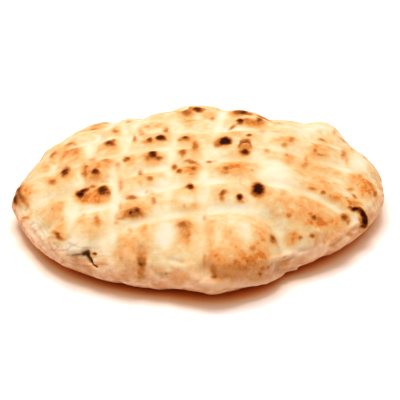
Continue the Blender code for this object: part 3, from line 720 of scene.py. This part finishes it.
def beside(curve, x, y):
    """How far each place is along the line through a curve's ends, as a share of it, and how far it is
    to the left of that line."""
    (x0, y0), (x1, y1) = curve[0], curve[-1]
    run_x, run_y = x1 - x0, y1 - y0
    length = math.hypot(run_x, run_y)
    run = ((x - x0) * run_x + (y - y0) * run_y) / length ** 2
    return run, (run_x * (y - y0) - run_y * (x - x0)) / length


def rim_place(turn, down):
    """A place on the rim for the creases' noise, which is long round the rim and short across it."""
    slanted = down / MM + CREASE_SLANT * RADIUS / MM * turn
    round_rim = RADIUS / MM / CREASE_LENGTH
    return Vector((round_rim * math.cos(turn), round_rim * math.sin(turn), slanted / CREASE_WIDTH))


lip_line = skin_line(LIP)
lip_gap = distance_to(lip_line, skin_x, skin_y)
lip_run, above_lip = beside(lip_line, skin_x, skin_y)
at_lip = soft_step(lip_run, *LIP_START) * soft_step(-lip_run, *LIP_END)
flap = swell(lip_gap, LIP_REACH) * soft_step(above_lip, -LIP_RISE, LIP_RISE) * at_lip
# painted shade in the gap under the flap
tear = LIP_SHADE * swell(lip_gap, LIP_WIDTH) * (above_lip < LIP_OVERHANG)
step_out = LIP_HEIGHT * flap + BLISTER_SHARE * blister + BUBBLE_SHARE * bubble
for size, lump in LUMP_SIZES:
    step_out += lump * wavy(size, size, LUMP_OCTAVES)

rim_noise = np.array([noise.noise(rim_place(*place)) for place in zip(angle, along)])
on_rim = soft_step(reach, *CREASE_BAND)
# the creases' dip in the skin, and the painted shade that darkens them
crease = soft_step(1.0 - CREASE_SHARPNESS * np.abs(rim_noise), 0.0, 1.0) * on_rim
ridge = RIDGE_PALENESS * soft_step(np.abs(rim_noise), *RIDGE_NOISE) * on_rim
step_out += RIM_LUMP_HEIGHT * wavy(RIM_LUMP_SIZE, RIM_LUMP_SHIFT) * on_rim - CREASE_DEPTH * crease
for pixels, half, fold in FOLDS:
    fold_share = swell(distance_to(skin_line(pixels), skin_x, skin_y), half)
    step_out += fold * fold_share
    # the hollow of a fold is darkened with painted shade
    crease = np.maximum(crease, np.minimum(-fold * fold_share, 1.0))
    ridge = np.maximum(ridge, fold * fold_share)
# each gash is cut into the skin and darkened with painted shade
for pixels, half, deep, dark in TEAR:
    gash = swell(distance_to(skin_line(pixels), skin_x, skin_y), half)
    step_out -= deep * gash
    tear = np.maximum(tear, dark * gash)
push_out(dough, step_out * MM * soft_step(up, *RELIEF_RISE))
for vert in dough.verts:
    vert.co.z = max(vert.co.z, 0.0)
side_dough = 1.0 - soft_step(up, *DOUGH_BAND)
underside = 1.0 - soft_step(up, *UNDERSIDE)

loaf_mesh = bpy.data.meshes.new("loaf")
dough.to_mesh(loaf_mesh)
loaf_mesh.shade_smooth()
for name, values in (
    ("flour_line", flour_line), ("flour", flour), ("toast", toast), ("scorch", scorch),
    ("halo", halo), ("tear", tear), ("crease", crease), ("ridge", ridge),
    ("side_dough", side_dough), ("underside", underside),
):
    layer = loaf_mesh.attributes.new(name, "FLOAT", "POINT")
    layer.data.foreach_set("value", values.astype(np.float32))
loaf = bpy.data.objects.new("loaf", loaf_mesh)
scene.collection.objects.link(loaf)

# ------------------------------------------------------------------------------
# The crust's finish.  One scale of baking runs from floury dough over gold to brown, and one of
# scorching from tan to char, which also colours a few marks of painted shade.  Painted shade darkens
# the creases, the tear and the sole, and a few pale patches are painted light.  The skin is matt, with
# a slight sheen where it is well baked, and it has a fine grain of flour and pores.

BAKE_COLOURS = (                  # how far it is baked, and the colour: from floury dough to brown
    (0.00, (0.600, 0.545, 0.450)),
    (0.20, (0.560, 0.455, 0.285)),
    (0.40, (0.540, 0.365, 0.170)),
    (0.60, (0.540, 0.285, 0.105)),
    (0.80, (0.540, 0.220, 0.062)),
    (0.92, (0.490, 0.158, 0.028)),
    (1.00, (0.420, 0.118, 0.016)),
)
SCORCH_AND_SHADE_COLOURS = (                # how dark the scorch marks and the marks of painted shade are: from tan to char
    (0.00, (0.560, 0.285, 0.100)),
    (0.30, (0.460, 0.165, 0.034)),
    (0.50, (0.280, 0.090, 0.018)),
    (0.68, (0.125, 0.022, 0.002)),
    (0.82, (0.055, 0.009, 0.001)),
    (0.95, (0.018, 0.002, 0.001)),
)
SIDE_PALE = (0.73, 0.465, 0.300, 1.0)
SIDE_TAN = (0.55, 0.245, 0.110, 1.0)
# the browned sole, darkened further as painted shade under the loaf
SOLE_BROWN_AND_SHADE_COLOUR = (0.42, 0.19, 0.09, 1.0)
# painted shade in the creases and in the hollows of the folds
CREASE_SHADE_COLOUR = (0.36, 0.155, 0.070, 1.0)
RIDGE_COLOUR = (0.72, 0.48, 0.31, 1.0)
# painted shade in the gash and under the flap
TEAR_SHADE_COLOUR = (0.16, 0.045, 0.008, 1.0)
STREAK_SIZE = 22 * MM
PATCH_SIZE = 9 * MM
MOTTLE_SIZE = 3.5 * MM
SPECK_SIZE = 1.7 * MM
GRAIN_SIZE = 0.7 * MM
NOISE_ROUGHNESS = 0.6
GROOVE_FLOUR = 0.70               # how floury a groove is
GROOVE_STREAKS = 2.2              # and how much that changes along it
FLOUR_BLOTCHES = (0.8, 0.8)       # the shares of patches and of mottle in where flour lies
FLOUR_COVERS = (0.25, 0.95)       # the values over which it comes to cover the skin
FLOUR_MOTTLE = 0.8
TOAST_BLOTCHES = (1.0, 0.9)
HALO_BROWN = 0.32                 # how brown the skin around a scorch mark is
PLAIN_BAKE = 0.33                 # how far a cell is baked that no patch toasts
PLAIN_BLOTCHES = (0.60, 0.55)
FLOUR_ON_PLAIN = 0.70             # of the baking, that flour and painted light hide
FLOUR_ON_TOAST = 0.45
TOAST_BAKE = 0.50
DEEP_TOAST = (0.80, 1.20)         # the values over which toasting comes to be deep
DEEP_BAKE = 0.07                  # and how far that bakes the skin on
GRAIN_BAKE = 0.08
SPECK_BAKE = 0.20
SIDE_BLOTCHES = (0.9, 0.6)
SIDE_COVERS = (0.25, 0.90)
SIDE_SHARE = 0.85                 # of the side's own colour there
SIDE_TOAST = (0.35, 0.75)         # the toasting over which that gives way to the crust's
SIDE_TOASTED = 0.8                # and how far it does
SIDE_TANNED = (-0.45, 0.20)       # the unevenness over which the pale side turns tan
SIDE_FLOUR = 0.8                  # of the tan, that the pale patches of flour and painted light hide
CREASE_SHADE_SHARE = 0.45
RIDGE_SHARE = 0.40
FOLD_MOTTLE = 1.5
SPECKLE_EDGE = (0.03, 0.20)
SPECKLES = (0.04, 0.52)           # how scorched specks are, and what deep toasting adds
SCORCH_MOTTLE = 0.7
SCORCH_SPECKS = 0.5
SCORCH_COVERS = (0.0, 0.45)
FAINT_SCORCH = 0.15               # of a scorch, that is lost on well baked skin
BROWN_SKIN = (0.60, 0.90)
TEAR_SHADE_COVERS = (0.25, 0.85)
FLOUR_ROUGHNESS = 0.80
BAKED_SHEEN = 0.18                # less rough where it is well baked
WELL_BAKED = (0.45, 0.80)
BUMP_HEIGHT = 0.3 * MM
BUMP_STRENGTH = 0.5
SHINE = 0.02
SHINE_TINT = (1.0, 0.60, 0.30, 1.0)


class Tone:
    """A socket of a node tree.  Sums on it are written as sums, and put() adds any other node."""

    def __init__(self, tree, socket=None):
        self.tree = tree
        self.socket = socket

    def put(self, kind, settings, sockets, output=0):
        """Adds a node, sets it up, fills its sockets with values or links, and gives one output."""
        node = self.tree.nodes.new(kind)
        for name, value in settings.items():
            if name == "stops":
                while len(node.color_ramp.elements) < len(value):
                    node.color_ramp.elements.new(0.5)
                for element, (position, colour) in zip(node.color_ramp.elements, value):
                    element.position = position
                    element.color = (*colour, 1.0)
            else:
                setattr(node, name, value)
        for name, value in sockets.items():
            if isinstance(value, Tone):
                self.tree.links.new(value.socket, node.inputs[name])
            else:
                node.inputs[name].default_value = value
        return Tone(self.tree, node.outputs[output] if node.outputs else None)

    def math(self, operation, first, second):
        return self.put("ShaderNodeMath", {"operation": operation}, {0: first, 1: second})

    def __add__(self, other):
        return self.math("ADD", self, other)

    def __sub__(self, other):
        return self.math("SUBTRACT", self, other)

    def __rsub__(self, other):
        return self.math("SUBTRACT", other, self)

    def __mul__(self, other):
        return self.math("MULTIPLY", self, other)

    __radd__ = __add__
    __rmul__ = __mul__


crust = bpy.data.materials.new("crust")
crust.use_nodes = True
crust.node_tree.nodes.clear()
mix = Tone(crust.node_tree)
spot = mix.put("ShaderNodeTexCoord", {}, {}, "Object")


def read(name):
    """One of the loaf's own values, as it was worked out for each point of its skin."""
    return mix.put("ShaderNodeAttribute", {"attribute_name": name}, {}, "Fac")


def unevenness(size, detail):
    """Noise from -0.5 to 0.5 in spots of a size in metres."""
    sockets = {"Vector": spot, "Scale": 1 / size, "Detail": detail, "Roughness": NOISE_ROUGHNESS}
    return mix.put("ShaderNodeTexNoise", {}, sockets, "Fac") - 0.5


def ease(value, low, high):
    """0 below low, 1 above high, and smooth between."""
    sockets = {"Value": value, "From Min": low, "From Max": high}
    return mix.put("ShaderNodeMapRange", {"interpolation_type": "SMOOTHSTEP"}, sockets)


def blend(share, first, second):
    """A colour between two."""
    return mix.put("ShaderNodeMix", {"data_type": "RGBA"}, {0: share, 6: first, 7: second}, 2)


streaks = unevenness(STREAK_SIZE, 1.0)
patches = unevenness(PATCH_SIZE, 2.0)
mottle = unevenness(MOTTLE_SIZE, 2.0)
specks = unevenness(SPECK_SIZE, 1.0)
grain = unevenness(GRAIN_SIZE, 2.0)


def blotches(patch_share, mottle_share):
    """Unevenness in patches and in mottle, each by its share."""
    return patch_share * patches + mottle_share * mottle


# the pale cover: floury grooves and patches, with a few patches of painted light
floury = read("flour_line") * (GROOVE_FLOUR + GROOVE_STREAKS * streaks)
floury = ease(floury + blotches(*FLOUR_BLOTCHES), *FLOUR_COVERS)
floury = mix.math("MAXIMUM", floury, read("flour") * (1.0 + FLOUR_MOTTLE * mottle))
browned = read("toast") * (1.0 + blotches(*TOAST_BLOTCHES)) + HALO_BROWN * read("halo")
deeply_toasted = ease(browned, *DEEP_TOAST)
baked = (PLAIN_BAKE + blotches(*PLAIN_BLOTCHES)) * (1.0 - FLOUR_ON_PLAIN * floury)
baked = baked + (TOAST_BAKE * browned + DEEP_BAKE * deeply_toasted) * (1.0 - FLOUR_ON_TOAST * floury)
baked = baked + GRAIN_BAKE * grain + SPECK_BAKE * specks * browned
crust_colour = mix.put("ShaderNodeValToRGB", {"stops": BAKE_COLOURS}, {"Fac": baked}, "Color")

side = ease(read("side_dough") + blotches(*SIDE_BLOTCHES), *SIDE_COVERS)
side = side * (1.0 - SIDE_TOASTED * ease(browned, *SIDE_TOAST))
tanned = ease(streaks + patches + mottle, *SIDE_TANNED) * (1.0 - SIDE_FLOUR * read("flour"))
side_colour = blend(tanned, SIDE_PALE, SIDE_TAN)
colour = blend(SIDE_SHARE * side, crust_colour, side_colour)
# the browned sole, darkened further as painted shade under the loaf
colour = blend(read("underside") * (1.0 + mottle), colour, SOLE_BROWN_AND_SHADE_COLOUR)
fold_mottle = 1.0 + FOLD_MOTTLE * mottle
# painted shade in the creases and in the hollows of the folds
colour = blend(CREASE_SHADE_SHARE * read("crease") * fold_mottle, colour, CREASE_SHADE_COLOUR)
colour = blend(RIDGE_SHARE * read("ridge") * fold_mottle, colour, RIDGE_COLOUR)

speckled = ease(specks, *SPECKLE_EDGE) * (SPECKLES[0] + SPECKLES[1] * deeply_toasted)
darkening = read("scorch") * (1.0 + SCORCH_MOTTLE * mottle + SCORCH_SPECKS * specks)
darkening = mix.math("MAXIMUM", darkening, speckled)
scorch_and_shade_colour = mix.put("ShaderNodeValToRGB", {"stops": SCORCH_AND_SHADE_COLOURS}, {"Fac": darkening}, "Color")
scorch_and_shade_share = ease(darkening - FAINT_SCORCH * ease(baked, *BROWN_SKIN), *SCORCH_COVERS)
colour = blend(scorch_and_shade_share, colour, scorch_and_shade_colour)
# painted shade in the gash and under the flap
colour = blend(ease(read("tear"), *TEAR_SHADE_COVERS), colour, TEAR_SHADE_COLOUR)

bump = mix.put("ShaderNodeBump", {}, {
    "Strength": BUMP_STRENGTH,
    "Distance": BUMP_HEIGHT,
    "Height": grain + mottle + specks,
}, "Normal")
shader = mix.put("ShaderNodeBsdfPrincipled", {}, {
    "Base Color": colour,
    "Roughness": FLOUR_ROUGHNESS - BAKED_SHEEN * ease(baked, *WELL_BAKED),
    "Normal": bump,
    "Specular IOR Level": SHINE,
    "Specular Tint": SHINE_TINT,
}, "BSDF")
mix.put("ShaderNodeOutputMaterial", {}, {"Surface": shader})
loaf_mesh.materials.append(crust)

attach(loaf, "root")
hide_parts("somun")

# ------------------------------------------------------------------------------
# The table and the light.  A white table without an edge, with a warm painted shadow round the loaf
# that darkens where less of the sky is open over it, a bright sky of soft light, and one large lamp
# high behind the loaf, so that the near side is the darker one.

TABLE_RADIUS = 4.0
TABLE_SIDES = 96
TABLE_GAP = 0.1 * MM
TABLE_ROUGHNESS = 0.9
TABLE_SHINE = 0.1
TABLE_SHADOW_COLOURS = (                 # how open the sky is over a place, and the colour: a painted shadow, dark and warm by the loaf
    (0.08, (0.56, 0.05, 0.002)),
    (0.15, (0.78, 0.145, 0.010)),
    (0.22, (0.88, 0.290, 0.065)),
    (0.32, (0.93, 0.54, 0.250)),
    (0.44, (0.95, 0.72, 0.520)),
    (0.56, (0.90, 0.74, 0.630)),
    (0.68, (0.70, 0.62, 0.580)),
    (1.00, (0.92, 0.84, 0.800)),
)
SHADE_REACH = 24 * MM
SHADE_SAMPLES = 16
SKY_COLOUR = (1.0, 0.93, 0.86, 1.0)
SKY_STRENGTH = 0.83
LAMP_PLACE = (-0.10, 0.25, 1.5)
LAMP_WIDTH = 0.9
LAMP_POWER = 30.0

table_bm = bmesh.new()
bmesh.ops.create_circle(table_bm, cap_ends=True, segments=TABLE_SIDES, radius=TABLE_RADIUS)
bmesh.ops.translate(table_bm, vec=(0.0, 0.0, -TABLE_GAP), verts=table_bm.verts[:])
table_mesh = bpy.data.meshes.new("table")
table_bm.to_mesh(table_mesh)
table = bpy.data.objects.new("table", table_mesh)
scene.collection.objects.link(table)
shadowed_table_finish = bpy.data.materials.new("table")
shadowed_table_finish.use_nodes = True
shadowed_table_finish.node_tree.nodes.clear()
mix = Tone(shadowed_table_finish.node_tree)
shade = {"samples": SHADE_SAMPLES}
# painted shadow: the table's colour darkens and warms where less sky is open over it
open_sky = mix.put("ShaderNodeAmbientOcclusion", shade, {"Distance": SHADE_REACH}, "AO")
shader = mix.put("ShaderNodeBsdfPrincipled", {}, {
    "Base Color": mix.put("ShaderNodeValToRGB", {"stops": TABLE_SHADOW_COLOURS}, {"Fac": open_sky}, "Color"),
    "Roughness": TABLE_ROUGHNESS,
    "Specular IOR Level": TABLE_SHINE,
}, "BSDF")
mix.put("ShaderNodeOutputMaterial", {}, {"Surface": shader})
table_mesh.materials.append(shadowed_table_finish)

world = bpy.data.worlds.new("sky")
world.use_nodes = True
sky = world.node_tree.nodes["Background"].inputs
sky["Strength"].default_value = SKY_STRENGTH
sky["Color"].default_value = SKY_COLOUR
scene.world = world
light = bpy.data.lights.new("lamp", "AREA")
light.size = LAMP_WIDTH
light.energy = LAMP_POWER
lamp = bpy.data.objects.new("lamp", light)
lamp.location = LAMP_PLACE
lamp.rotation_euler = (-lamp.location).to_track_quat("-Z", "Y").to_euler()
scene.collection.objects.link(lamp)
scene.view_settings.view_transform = "Standard"
